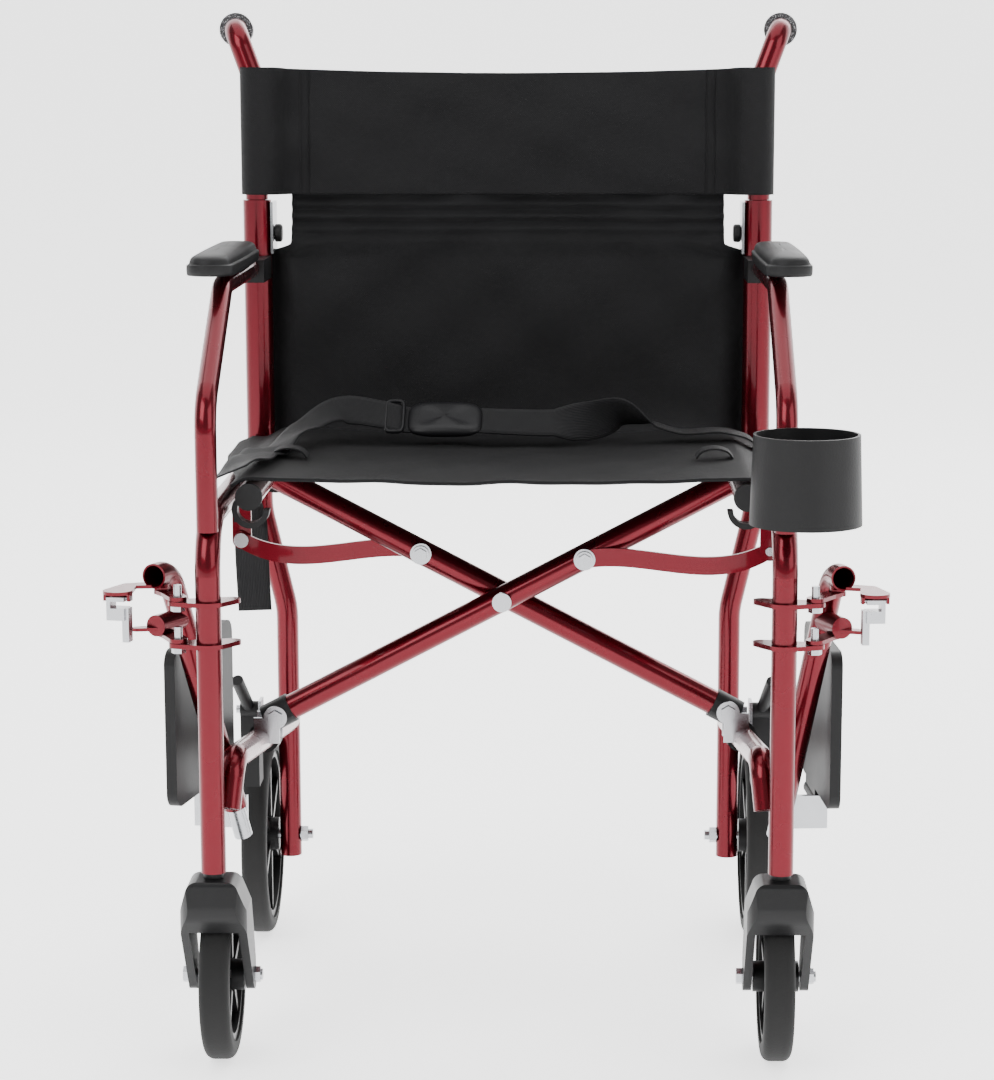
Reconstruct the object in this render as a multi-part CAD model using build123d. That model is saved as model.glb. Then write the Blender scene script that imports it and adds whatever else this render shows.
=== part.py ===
from build123d import *
import math
import os

# Folding transport wheelchair, with the footrests swung back.
# Millimetres. X is the chair's left-right axis (the cup holder is at +X), +Y points to the rear
# and +Z up. Sizes are written about the front posts' axis, which is Y = 0, and export() moves
# everything so that the origin is under the middle of the whole chair.

# ---- overall sizes ----
FRAME_HALF = 250.0          # frame tubes' axis from the middle of the chair
DEPTH = 450.0               # front post axis to back cane axis
SIDE_RAIL_Z = 499.0         # axis of the seat-level side rail
SEAT_RAIL_Z = 511.0         # axis of the seat rails
ARM_RAIL_Z = 691.0          # axis of the arm tube under its pad
BACK_JOINT_Z = 754.0        # where the upper canes stand on the lower ones
CANE_BEND_Z = 868.0         # where the upper canes start to splay outwards
HANDLE_Z = 921.0            # axis of the push handles

# ---- tubes ----
POST_OD = 22.2
ARM_OD = 19.0
CANE_OD = 28.0
BRACE_OD = 24.0
RAIL_OD = 22.2
EXTENSION_OD = 17.0
TUBE_WALL = 1.6
POST_BEND_R = 48.0
POST_BOTTOM_Z = 186.0

# ---- rear leg ----
LEG_HALF = FRAME_HALF - 24.0    # axis of the lower rear legs, jogged inboard
JOG_TOP_Z = 442.0
JOG_BOTTOM_Z = 340.0
LEG_BOTTOM_Z = 80.0
JOG_BEND_R = 90.0
SWAGE_Z = 496.0             # below this the cane has the smaller diameter

# ---- arms ----
ARM_FOOT_Y = 4.0             # the arm stands on the post's bend
ARM_SLANT_Z = 597.0
ARM_SLANT_Y = 148.0
ARM_BEND_R = 42.0
PAD_HALF = FRAME_HALF + 8.5
PAD_W = 45.0
PAD_FRONT_Y = 110.0
PAD_LEN = 248.0
PAD_BRIM = 11.0
PAD_CROWN = 9.0
CLAMP_Y = 372.0

# ---- lower rail ----
LOWER_RAIL_FRONT_Z = 283.0
LOWER_RAIL_BEND_Y = 58.0
LOWER_RAIL_X = FRAME_HALF - 20.5
LOWER_RAIL_DROP = 61.0
LOWER_RAIL_FOOT_Z = 240.0

# ---- cross brace ----
BRACE_Y = 225.0
BRACE_GAP = 2.0             # between the two brace tubes
PIVOT_HALF = FRAME_HALF - 36.0  # lower pivots from the middle
PIVOT_Z = 281.0
RAIL_HALF = FRAME_HALF - 30.0
RAIL_FRONT_Y = 64.0
RAIL_LEN = 366.0
CAP_OD = 24.0
CAP_LEN = 5.0
LINK_OUT_X = FRAME_HALF - 1.0
LINK_OUT_Z = 442.0
LINK_IN = 87.0              # inner link bolt from the centre pivot, along the brace
LINK_T = 4.0
LINK_BOLT_R = 3.0
LINK_W = 17.0
LINK_SAG = 12.0

# ---- saddles ----
SADDLE_YS = (78.0, 300.0)
SADDLE_LEN = 14.0
SADDLE_T = 5.0
SADDLE_GAP = 13.0           # air under the seat rail in the open pose

# ---- casters ----
CASTER_R = 76.2
CASTER_W = 27.0
CASTER_TRAIL = 50.0
CROWN_TOP_Z = 181.0
CROWN_OD = 47.0
FORK_W = 59.0
FORK_LEG_T = 7.5
ARCH_Z = 160.0

# ---- rear wheels ----
WHEEL_R = 101.6
WHEEL_W = 25.4
WHEEL_HALF = FRAME_HALF + 4.5
HUB_R = 17.0
HUB_W = 33.0
TYRE_T = 15.0
AXLE_R = 5.0
STEM_R = 6.0
RUN_GAP = 0.05              # running clearance on axles and pins

# ---- footrests ----
PIN_X = FRAME_HALF + 26.5
PIN_R = 3.5
TAB_ZS = (427.0, 390.0)     # mid-heights of the upper and lower frame tabs
TAB_T = 4.0
LUG_T = 3.5
LUG_GAP = 0.4
HANGER_Z = 447.0
HANGER_END = (PIN_X + 26.5, 15.0)
HANGER_KNEE = (PIN_X + 22.5, 42.0)
HANGER_FOOT = (PIN_X - 8.5, 125.0, 215.0)
HANGER_BEND_R = 24.0
BRACE_STUB_Z = 402.5
SWING_REST = {-1: 11.0, 1: 4.0}   # how far each footrest is swung inwards of straight back
PLATE_OFFSET = 30.0
PLATE_T = 10.0
PLATE_Y = (60.0, 230.0)
PLATE_Z = (226.0, 371.0)
PLATE_HINGE_Z = 214.0
BARREL_Y = (147.0, 205.0)
EXTENSION_LEN = 32.0
LATCH_ARM_X = 49.5
LATCH_Y = -14.0
LATCH_PIN_Z = 432.5
LATCH_PIN_R = 2.0
LATCH_EAR_X = 9.5           # inner face of the two ears that hold the latch's pin

# ---- back ----
HINGE_Y = 22.0              # back pivot behind the cane axis
HINGE_Z = 733.0
HINGE_PLATE_T = 2.5
HINGE_PIN_R = 4.0
HINGE_LUG_R = 7.0
HINGE_LUG_W = 10.0
HANDLE_SPLAY = 20.0         # how far the handles stand outside the frame
HANDLE_SETBACK = 10.0       # the handles' corner behind the canes
HANDLE_TOE = 8.0            # the handles open outwards by this over their length
HANDLE_LEN = 108.0
GRIP_OD = 29.0
GRIP_FLANGE_OD = 33.0
GRIP_LEN = 90.0
GRIP_CAP = 6.0

# ---- upholstery ----
SLING_T = 6.0
SLING_HALF = FRAME_HALF - 14.0
SOFT_GAP = 0.5
PANEL_T = 6.0
NECK_HALF = FRAME_HALF - 34.0
PANEL_SPLIT_Z = 735.0
WING_TOP_Z = 704.0
BAND_BOTTOM_Z = 759.5
SLEEVE_T = 2.6
BELT_W = 38.0
BELT_Y = 330.0

# ---- wheel locks ----
LOCK_Y = 322.0
LOCK_Z = 262.0
LOCK_X = FRAME_HALF + 2.0
LOCK_W = 18.0
SHOE_T = 6.0
SHOE_GAP = 5.0              # from the shoe to the tyre when the lock is off

# ---- cup holder ----
CUP_X = FRAME_HALF + 12.0
CUP_Y = -62.0
CUP_BORE_R = 42.5
CUP_TOP_R = 45.0
CUP_BOTTOM_R = 47.5
CUP_BASE_Z = 507.0
CUP_H = 76.0
CUP_FLOOR = 3.0

FRONT_Y = CUP_Y - CUP_BOTTOM_R
TOE_ANGLE = math.atan2(HANDLE_TOE, HANDLE_LEN)
REAR_Y = (
    DEPTH + HANDLE_SETBACK + HANDLE_LEN + GRIP_CAP * math.cos(TOE_ANGLE) + GRIP_OD / 2 * math.sin(TOE_ANGLE)
)
MID_Y = (FRONT_Y + REAR_Y) / 2
SIDES = {"left": -1, "right": 1}

os.makedirs("parts", exist_ok=True)


def export(name, shape):
    """Write one sub-part, moved so that the origin is under the middle of the chair."""
    solids = shape.solids() if hasattr(shape, "solids") else list(shape)
    moved = [solid.moved(Location((0, -MID_Y, 0))) for solid in solids]
    export_step(moved[0] if len(moved) == 1 else Compound(children=moved), f"parts/{name}.step")


def path(points, radius):
    """A run of straight lines with a tangent arc of the given radius at each corner."""
    if len(points) == 2:
        return Line(*points)
    return FilletPolyline(*points, radius=radius)


def bar(points, od, radius=40.0):
    """A solid round bar along a path."""
    line = path(points, radius)
    start = Plane(origin=line @ 0, z_dir=line % 0)
    return sweep(start * Circle(od / 2), path=line)


def tube(points, od, radius=40.0, wall=TUBE_WALL):
    """A round tube along a path."""
    line = path(points, radius)
    start = Plane(origin=line @ 0, z_dir=line % 0)
    return sweep(start * (Circle(od / 2) - Circle(od / 2 - wall)), path=line)


def rod(start, end, radius):
    """A straight solid cylinder from one point to another."""
    start, end = Vector(*start), Vector(*end)
    axis = end - start
    return extrude(Plane(origin=start, z_dir=axis) * Circle(radius), axis.length)


def ring(start, end, outer, inner):
    """A straight sleeve from one point to another."""
    start, end = Vector(*start), Vector(*end)
    axis = end - start
    return extrude(Plane(origin=start, z_dir=axis) * (Circle(outer) - Circle(inner)), axis.length)


def hexagon(start, end, across):
    """A hexagon nut or bolt head, with its width across flats."""
    start, end = Vector(*start), Vector(*end)
    axis = end - start
    face = Plane(origin=start, z_dir=axis) * RegularPolygon(across / math.sqrt(3), 6)
    return extrude(face, axis.length)


def box(x, y, z):
    """A box between two corners, given as pairs."""
    size = [b - a for a, b in (x, y, z)]
    middle = [(a + b) / 2 for a, b in (x, y, z)]
    return Pos(*middle) * Box(*size)


def span(a, b):
    """The two numbers in rising order."""
    return (min(a, b), max(a, b))


def plate_along(circles, z, thickness, holes=()):
    """A flat plate round a row of circles (x, y, r), joined by their tangents, less its holes."""
    shape = None
    for (xa, ya, ra), (xb, yb, rb) in zip(circles, circles[1:]):
        with BuildSketch() as sketch:
            with Locations((xa, ya)):
                Circle(ra)
            with Locations((xb, yb)):
                Circle(rb)
            make_hull()
        shape = sketch.sketch if shape is None else shape + sketch.sketch
    for x, y, r in holes:
        shape -= Pos(x, y) * Circle(r)
    return Pos(0, 0, z - thickness / 2) * extrude(shape, thickness)


# ---- the brace's geometry, shared by the arms, the links and the record ----
ARM_SPAN = PIVOT_HALF + RAIL_HALF
ARM_RISE = SEAT_RAIL_Z - 3.0 - PIVOT_Z
ARM_ANGLE = math.atan2(ARM_RISE, ARM_SPAN)
CENTRE_Z = PIVOT_Z + PIVOT_HALF * math.tan(ARM_ANGLE)
ARM_Y = {-1: BRACE_Y - (BRACE_OD + BRACE_GAP) / 2, 1: BRACE_Y + (BRACE_OD + BRACE_GAP) / 2}


def lower_rail_points(s):
    """The lower side rail: up beside the front post, then back and down to the rear leg."""
    return [
        (s * (LOWER_RAIL_X + 8), 12, LOWER_RAIL_FOOT_Z),
        (s * (LOWER_RAIL_X + 4), 26, LOWER_RAIL_FRONT_Z),
        (s * LEG_HALF, DEPTH, LOWER_RAIL_FRONT_Z - LOWER_RAIL_DROP),
    ]


def lower_rail_at(y):
    """X distance and Z of the lower rail's long run at a given Y."""
    share = (y - 26) / (DEPTH - 26)
    x = LOWER_RAIL_X + 4 + share * (LEG_HALF - LOWER_RAIL_X - 4)
    return x, LOWER_RAIL_FRONT_Z - share * LOWER_RAIL_DROP


# ---- side frames ----
def cane_outline(s):
    return [
        (s * FRAME_HALF, DEPTH, BACK_JOINT_Z),
        (s * FRAME_HALF, DEPTH, JOG_TOP_Z),
        (s * LEG_HALF, DEPTH, JOG_BOTTOM_Z),
        (s * LEG_HALF, DEPTH, LEG_BOTTOM_Z),
    ]


def cane(s):
    """The lower cane: wide above the seat, stepped down below it, jogged in to the rear leg."""
    points = cane_outline(s)
    lower = [(s * FRAME_HALF, DEPTH, SWAGE_Z)] + points[1:]
    shape = tube(lower, POST_OD, JOG_BEND_R)
    top, base = points[0], (s * FRAME_HALF, DEPTH, SWAGE_Z)
    shape += ring(base, top, CANE_OD / 2, POST_OD / 2 - TUBE_WALL)
    axle = rod((s * (LEG_HALF - 30), DEPTH, WHEEL_R), (s * (LEG_HALF + 30), DEPTH, WHEEL_R), AXLE_R)
    return shape - axle


def front_post(s):
    """The front post, bent back into the seat-level side rail, which meets the cane."""
    points = [
        (s * FRAME_HALF, 0, POST_BOTTOM_Z),
        (s * FRAME_HALF, 0, SIDE_RAIL_Z),
        (s * FRAME_HALF, DEPTH, SIDE_RAIL_Z),
    ]
    keep_out = rod((s * FRAME_HALF, DEPTH, 400), (s * FRAME_HALF, DEPTH, 600), CANE_OD / 2)
    return tube(points, POST_OD, POST_BEND_R) - keep_out


def front_post_core(s):
    """The front post as a solid bar, for trimming what is welded to it."""
    points = [
        (s * FRAME_HALF, 0, POST_BOTTOM_Z),
        (s * FRAME_HALF, 0, SIDE_RAIL_Z),
        (s * FRAME_HALF, DEPTH, SIDE_RAIL_Z),
    ]
    return bar(points, POST_OD, POST_BEND_R)


def arm_tube(s):
    """The arm: up from the post's bend, slanted back, then level under its pad."""
    points = [
        (s * FRAME_HALF, ARM_FOOT_Y, SIDE_RAIL_Z - 10),
        (s * FRAME_HALF, ARM_FOOT_Y, ARM_SLANT_Z),
        (s * FRAME_HALF, ARM_SLANT_Y, ARM_RAIL_Z),
        (s * FRAME_HALF, CLAMP_Y + 20, ARM_RAIL_Z),
    ]
    return tube(points, ARM_OD, ARM_BEND_R) - front_post_core(s)


def arm_pad(s):
    """The moulded arm pad: a flat brim with a crowned top, rounded at both ends."""
    z = ARM_RAIL_Z + ARM_OD / 2 + 0.3
    middle = PAD_FRONT_Y + PAD_LEN / 2
    brim = extrude(Pos(s * PAD_HALF, middle, z) * RectangleRounded(PAD_W, PAD_LEN, 12), PAD_BRIM)
    crown = extrude(
        Pos(s * PAD_HALF, middle, z + PAD_BRIM) * RectangleRounded(PAD_W - 5, PAD_LEN - 6, 12), PAD_CROWN
    )
    top = crown.faces().sort_by(Axis.Z)[-1]
    return brim + fillet(top.edges(), PAD_CROWN - 2)


def arm_clamp(s):
    """The black bracket between the arm tube's rear end and the front of the cane."""
    x, z = s * FRAME_HALF, ARM_RAIL_Z
    body = box((x - 14, x + 14), (CLAMP_Y, DEPTH - PANEL_T), (z - 14, z + 8))
    body -= rod((x, CLAMP_Y - 10, z), (x, CLAMP_Y + 20.2, z), ARM_OD / 2 + 0.1)
    return body - rod((x, DEPTH, z - 40), (x, DEPTH, z + 40), CANE_OD / 2 + 0.1)


def lower_rail(s):
    keep_out = rod((s * LEG_HALF, DEPTH, 100), (s * LEG_HALF, DEPTH, 330), POST_OD / 2)
    return tube(lower_rail_points(s), POST_OD, 20) - keep_out - front_post_core(s)


def saddles(s):
    """Two black hooks on the side rail that the seat rail drops into, and the brace's rail clamp."""
    shapes = []
    inner = RAIL_OD / 2 + 0.6
    z = SEAT_RAIL_Z - SADDLE_GAP
    for y in SADDLE_YS:
        plane = Plane(origin=(s * RAIL_HALF, y + SADDLE_LEN / 2, z), x_dir=(1, 0, 0), z_dir=(0, -1, 0))
        arc = Circle(inner + SADDLE_T) - Circle(inner)
        arc &= Pos(0, -20) * Rectangle(80, 40) + Pos(s * 15, 2) * Rectangle(14, 12)
        hook = extrude(plane * arc, SADDLE_LEN)
        ear = box(
            span(s * (FRAME_HALF - 15), s * (RAIL_HALF + inner + 1)),
            (y - SADDLE_LEN / 2, y + SADDLE_LEN / 2),
            (SIDE_RAIL_Z - 12, SIDE_RAIL_Z + 6),
        )
        side = rod((s * FRAME_HALF, 0, SIDE_RAIL_Z), (s * FRAME_HALF, DEPTH, SIDE_RAIL_Z), POST_OD / 2)
        room = rod((s * RAIL_HALF, 0, z), (s * RAIL_HALF, DEPTH, z), inner)
        rail = rod((s * RAIL_HALF, 0, SEAT_RAIL_Z), (s * RAIL_HALF, DEPTH, SEAT_RAIL_Z), inner)
        shapes.append((hook + ear - side - room - rail).solids().sort_by(SortBy.VOLUME)[-1])
    start, end = lower_rail_at(ARM_Y[s] + 30), lower_rail_at(ARM_Y[s] + 54)
    clamp = ring(
        (s * start[0], ARM_Y[s] + 30, start[1]), (s * end[0], ARM_Y[s] + 54, end[1]),
        POST_OD / 2 + 4, POST_OD / 2 + 0.1,
    )
    shapes += clamp.solids()
    return shapes


def frame_tabs(s):
    """The two red tabs on the front post that carry the footrest's pins, and the link bracket."""
    shapes = []
    for z in TAB_ZS:
        circles = [(s * PIN_X, 0, 8.5), (s * FRAME_HALF, 0, 16), (s * (FRAME_HALF - 19), 13, 7.5)]
        holes = [(s * PIN_X, 0, PIN_R), (s * FRAME_HALF, 0, POST_OD / 2)]
        shapes += plate_along(circles, z, TAB_T, holes).solids()
    y = link_y(s)
    bracket = box(
        (s * LINK_OUT_X - 9, s * LINK_OUT_X + 9), span(y - s * 3, y - s * 7), (LINK_OUT_Z, SIDE_RAIL_Z)
    )
    bracket += rod((s * LINK_OUT_X, y - s * 3, LINK_OUT_Z), (s * LINK_OUT_X, y - s * 7, LINK_OUT_Z), 9)
    side = rod((s * FRAME_HALF, 0, SIDE_RAIL_Z), (s * FRAME_HALF, DEPTH, SIDE_RAIL_Z), POST_OD / 2)
    hole = rod((s * LINK_OUT_X, y - 20, LINK_OUT_Z), (s * LINK_OUT_X, y + 20, LINK_OUT_Z), 4)
    shapes += (bracket - side - hole).solids()
    return shapes


def link_y(s):
    """The plane of a curved link: behind the rear brace tube at the left, before the front one."""
    return ARM_Y[-s] - s * (BRACE_OD / 2 + LINK_T / 2 + 1.0)


def frame_hardware(s):
    """Plated pieces fixed to a side frame: pins, brackets, bolts, rear axle, bearings and back hinge."""
    shapes = []
    for z in TAB_ZS:
        low = z - TAB_T / 2
        pin = rod((s * PIN_X, 0, low), (s * PIN_X, 0, z + 16), PIN_R)
        nut = hexagon((s * PIN_X, 0, low - 5), (s * PIN_X, 0, low), 11)
        shapes += [(pin + nut).solids()[0]]
    y = ARM_Y[s]
    x, z = lower_rail_at(y)
    pivot = (s * PIVOT_HALF, PIVOT_Z)
    for side in (-1, 1):
        plane_y = y + side * (BRACE_OD / 2 + 2.2)
        cheek = rod((pivot[0], plane_y - 1.5, pivot[1]), (pivot[0], plane_y + 1.5, pivot[1]), 11)
        foot = box(
            (min(pivot[0], s * x) - 4, max(pivot[0], s * x) + 4), (plane_y - 1.5, plane_y + 1.5), (z, PIVOT_Z)
        )
        rail = bar(lower_rail_points(s), POST_OD, 20)
        hole = rod((pivot[0], y - 40, pivot[1]), (pivot[0], y + 40, pivot[1]), 4)
        shapes += (cheek + foot - rail - hole).solids()
    bolt = rod((pivot[0], y - 19, pivot[1]), (pivot[0], y + 19, pivot[1]), 4)
    bolt += hexagon((pivot[0], y - 19, pivot[1]), (pivot[0], y - 16, pivot[1]), 13)
    bolt += hexagon((pivot[0], y + 16, pivot[1]), (pivot[0], y + 21, pivot[1]), 13)
    shapes += bolt.solids()
    inner, outer = s * (LEG_HALF - POST_OD / 2), s * (WHEEL_HALF + HUB_W / 2)
    axle = rod((inner - s * 12, DEPTH, WHEEL_R), (outer + s * 7, DEPTH, WHEEL_R), AXLE_R)
    axle += hexagon((inner, DEPTH, WHEEL_R), (inner - s * 7, DEPTH, WHEEL_R), 14)
    axle += hexagon((outer + s * 1, DEPTH, WHEEL_R), (outer + s * 6, DEPTH, WHEEL_R), 14)
    shapes += axle.solids()
    shapes += lock_bracket(s).solids()
    for low in (POST_BOTTOM_Z + 0.5, POST_BOTTOM_Z + 36):
        start, end = (s * FRAME_HALF, 0, low), (s * FRAME_HALF, 0, low + 14)
        shapes += ring(start, end, POST_OD / 2 - TUBE_WALL, STEM_R + RUN_GAP).solids()
    y = link_y(s)
    pin = rod((s * LINK_OUT_X, y - s * 9, LINK_OUT_Z), (s * LINK_OUT_X, y + s * 5, LINK_OUT_Z), 4)
    head = rod((s * LINK_OUT_X, y + s * 2.4, LINK_OUT_Z), (s * LINK_OUT_X, y + s * 6, LINK_OUT_Z), 7)
    shapes += (pin + head).solids()
    return shapes + hinge_plate(s).solids()


def lock_bracket(s):
    """The wheel lock's bracket: a plate welded beside the lower rail, with the lever's pin."""
    near, far = LOCK_X - LOCK_W / 2 - 0.6, LOCK_X + LOCK_W / 2 + 4
    rail_z = lower_rail_at(LOCK_Y)[1]
    plate = box(span(s * (near - 3), s * near), (LOCK_Y - 11, LOCK_Y + 11), (rail_z, LOCK_Z + 10))
    plate -= bar(lower_rail_points(s), POST_OD, 20)
    pin = rod((s * (near - 3), LOCK_Y, LOCK_Z), (s * far, LOCK_Y, LOCK_Z), 4)
    return (plate + pin).solids().sort_by(SortBy.VOLUME)[-1]


def hinge_plate(s):
    """The thin plate on each cane's inner side that carries the fold-down back's pivot pin."""
    x = s * (FRAME_HALF - CANE_OD / 2)
    inner = x - s * HINGE_PLATE_T
    plate = box(span(x, inner), (DEPTH - 10, DEPTH + HINGE_Y + 8), (HINGE_Z - 32, BACK_JOINT_Z - 2))
    pin_end = (s * (FRAME_HALF + HINGE_LUG_W / 2 + 3), DEPTH + HINGE_Y, HINGE_Z)
    return plate + rod((inner, DEPTH + HINGE_Y, HINGE_Z), pin_end, HINGE_PIN_R)


# ---- cross brace ----
def brace_point(s, along):
    """A point on an arm: s = -1 is the arm from the lower left, measured from the centre pivot."""
    return (-s * along * math.cos(ARM_ANGLE), CENTRE_Z + along * math.sin(ARM_ANGLE))


def brace_tube(s):
    """One arm of the cross, from its lower pivot on side s up to the opposite seat rail, welded on."""
    y = ARM_Y[s]
    half = PIVOT_HALF / math.cos(ARM_ANGLE)
    top = RAIL_HALF / math.cos(ARM_ANGLE)
    low_x, low_z = brace_point(s, -half + 4)
    top_x, top_z = brace_point(s, top)
    arm = tube([(low_x, y, low_z), (top_x, y, top_z)], BRACE_OD)
    rail = rod((-s * RAIL_HALF, 0, SEAT_RAIL_Z), (-s * RAIL_HALF, DEPTH, SEAT_RAIL_Z), RAIL_OD / 2)
    pivot = rod((s * PIVOT_HALF, y - 40, PIVOT_Z), (s * PIVOT_HALF, y + 40, PIVOT_Z), 4 + RUN_GAP)
    centre = rod((0, y - 40, CENTRE_Z), (0, y + 40, CENTRE_Z), 5 + RUN_GAP)
    if s > 0:
        bolt_x, bolt_z = brace_point(s, LINK_IN)
        centre += rod((bolt_x, y - 40, bolt_z), (bolt_x, y + 40, bolt_z), LINK_BOLT_R + 0.02)
    bare = (arm - rail - pivot - centre).solids().sort_by(SortBy.VOLUME)[-1]
    return bare + seat_rail(s)


def seat_rail(s):
    """The seat rail that arm s carries, on the opposite side."""
    x = -s * RAIL_HALF
    return tube([(x, RAIL_FRONT_Y, SEAT_RAIL_Z), (x, RAIL_FRONT_Y + RAIL_LEN, SEAT_RAIL_Z)], RAIL_OD)


def brace_caps(s):
    """Black plastic pieces on an arm: both seat rail caps and the sleeve over its lower end."""
    x = -s * RAIL_HALF
    ends = ((RAIL_FRONT_Y, -1), (RAIL_FRONT_Y + RAIL_LEN, 1))
    shapes = []
    for y, way in ends:
        cap = rod((x, y, SEAT_RAIL_Z), (x, y + way * CAP_LEN, SEAT_RAIL_Z), CAP_OD / 2)
        shapes.append(cap.solids()[0])
    half = PIVOT_HALF / math.cos(ARM_ANGLE)
    y = ARM_Y[s]
    low_x, low_z = brace_point(s, -half - 11)
    top_x, top_z = brace_point(s, -half + 16)
    sleeve = rod((low_x, y, low_z), (top_x, y, top_z), BRACE_OD / 2 + 2)
    end_x, end_z = brace_point(s, -half + 3.9)
    far_x, far_z = brace_point(s, -half + 60)
    sleeve -= rod((end_x, y, end_z), (far_x, y, far_z), BRACE_OD / 2 + 0.02)
    sleeve &= box((-400, 400), (y - BRACE_OD / 2 - 0.6, y + BRACE_OD / 2 + 0.6), (100, 500))
    pivot = rod((s * PIVOT_HALF, y - 40, PIVOT_Z), (s * PIVOT_HALF, y + 40, PIVOT_Z), 4 + RUN_GAP)
    shapes.append((sleeve - pivot).solids().sort_by(SortBy.VOLUME)[-1])
    return shapes


def pivot_bolt():
    """The centre bolt through both arms, with its head, nut and the front bush."""
    front = ARM_Y[-1] - BRACE_OD / 2
    rear = ARM_Y[1] + BRACE_OD / 2
    bolt = rod((0, front - 7, CENTRE_Z), (0, rear + 8, CENTRE_Z), 5)
    bolt += rod((0, front - 10, CENTRE_Z), (0, front - 4, CENTRE_Z), 9)
    bolt += hexagon((0, rear + 1, CENTRE_Z), (0, rear + 8, CENTRE_Z), 16)
    return bolt


def link(s):
    """The curved link from a side frame's bracket to the arm, in a plane across the chair."""
    y = link_y(s)
    in_x, in_z = brace_point(-s, LINK_IN)
    out_x = s * LINK_OUT_X
    run, rise = in_x - out_x, in_z - LINK_OUT_Z
    sag = ((0, 0), (0.3, LINK_SAG), (0.62, 0.4 * LINK_SAG), (1, 0))
    middle = [(out_x + share * run, LINK_OUT_Z + share * rise - drop) for share, drop in sag]
    half = LINK_W / 2
    upper = [(x, z + half) for x, z in middle]
    lower = [(x, z - half) for x, z in middle]
    with BuildSketch(Plane(origin=(0, y + LINK_T / 2, 0), x_dir=(1, 0, 0), z_dir=(0, -1, 0))) as strip:
        with BuildLine():
            Spline(*upper)
            ThreePointArc(upper[-1], (in_x - s * half, in_z), lower[-1])
            Spline(*lower[::-1])
            ThreePointArc(lower[0], (out_x + s * half, LINK_OUT_Z), upper[0])
        make_face()
    body = extrude(strip.sketch, LINK_T)
    hole = rod((out_x, y - 20, LINK_OUT_Z), (out_x, y + 20, LINK_OUT_Z), 4 + RUN_GAP)
    return body - hole


def link_bolt(s):
    """The bolt at a link's inner end. The left one goes through the rear arm, with its bush in front;
    the right one is seen only as the head in front of its link."""
    x, z = brace_point(-s, LINK_IN)
    face = ARM_Y[-s] - BRACE_OD / 2 if s < 0 else link_y(s) - LINK_T / 2
    bolt = rod((x, face - 6, z), (x, face - 2.5, z), 8) + rod((x, face - 2.6, z), (x, face, z), 10)
    bolt += hexagon((x, face - 9, z), (x, face - 6, z), 11)
    if s < 0:
        bolt += rod((x, face - 6, z), (x, ARM_Y[-s] + BRACE_OD / 2, z), LINK_BOLT_R)
    return bolt


# ---- upper back ----
def handle_line(s):
    """The corner where a handle turns back, and its rear end."""
    corner = Vector(s * (FRAME_HALF + HANDLE_SPLAY), DEPTH + HANDLE_SETBACK, HANDLE_Z)
    return corner, corner + Vector(s * HANDLE_TOE, HANDLE_LEN, 0)


def upper_cane(s):
    """The upper cane: straight up through the back's sleeve, splayed, then back to the grip."""
    x = s * FRAME_HALF
    corner, end = handle_line(s)
    shape = tube([(x, DEPTH, BACK_JOINT_Z + 0.5), (x, DEPTH, CANE_BEND_Z), corner, end], POST_OD, 24)
    pivot_y = DEPTH + HINGE_Y
    across = (x - HINGE_LUG_W / 2, x + HINGE_LUG_W / 2)
    lug = box(across, (DEPTH, pivot_y + HINGE_LUG_R), (BACK_JOINT_Z + 2, BACK_JOINT_Z + 16))
    lug += box(across, (pivot_y - HINGE_LUG_R, pivot_y + HINGE_LUG_R), (HINGE_Z, BACK_JOINT_Z + 16))
    lug += rod((across[0], pivot_y, HINGE_Z), (across[1], pivot_y, HINGE_Z), HINGE_LUG_R)
    lug -= rod((x - 40, pivot_y, HINGE_Z), (x + 40, pivot_y, HINGE_Z), HINGE_PIN_R + RUN_GAP)
    bore = rod((x, DEPTH, BACK_JOINT_Z - 5), (x, DEPTH, CANE_BEND_Z), POST_OD / 2 - 1)
    return shape + (lug - bore)


def grip(s):
    """The hand grip: a flange at its front, and a closed end."""
    corner, end = handle_line(s)
    way = (end - corner).normalized()
    start = end - way * (GRIP_LEN - GRIP_CAP)
    body = rod(start, end + way * GRIP_CAP, GRIP_OD / 2) + rod(start, start + way * 5, GRIP_FLANGE_OD / 2)
    return body - rod(start - way * 5, end + way * 0.2, POST_OD / 2 + 0.05)


def release_knob(s):
    """The spring-loaded knob on the inner side of the back hinge."""
    x = s * (FRAME_HALF - CANE_OD / 2 - HINGE_PLATE_T - 0.3)
    z = HINGE_Z - 12
    knob = extrude(Plane(origin=(x, DEPTH + 2, z), z_dir=(-s, 0, 0)) * Ellipse(9, 9), 8)
    return fillet(knob.edges(), 2.5)


# ---- upholstery ----
def back_upper_panel():
    top = CANE_BEND_Z + 16
    face = box(
        (-FRAME_HALF, FRAME_HALF), (DEPTH - PANEL_T / 2, DEPTH + PANEL_T / 2), (BAND_BOTTOM_Z, top)
    )
    sleeve_r = POST_OD / 2 + SOFT_GAP
    for s in SIDES.values():
        low, high = (s * FRAME_HALF, DEPTH, BAND_BOTTOM_Z), (s * FRAME_HALF, DEPTH, CANE_BEND_Z - 8)
        face += rod(low, high, sleeve_r + SLEEVE_T)
        face -= rod((low[0], DEPTH, 600), (high[0], DEPTH, CANE_BEND_Z), sleeve_r)
        face -= box(
            span(s * (FRAME_HALF - 14), s * (FRAME_HALF + 60)), (DEPTH - 30, DEPTH + 30), (CANE_BEND_Z - 8, 950)
        )
        face -= box(
            span(s * (FRAME_HALF - 8), s * (FRAME_HALF + 8)), (DEPTH, DEPTH + 40), (700, BACK_JOINT_Z + 18)
        )
    return face


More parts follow.
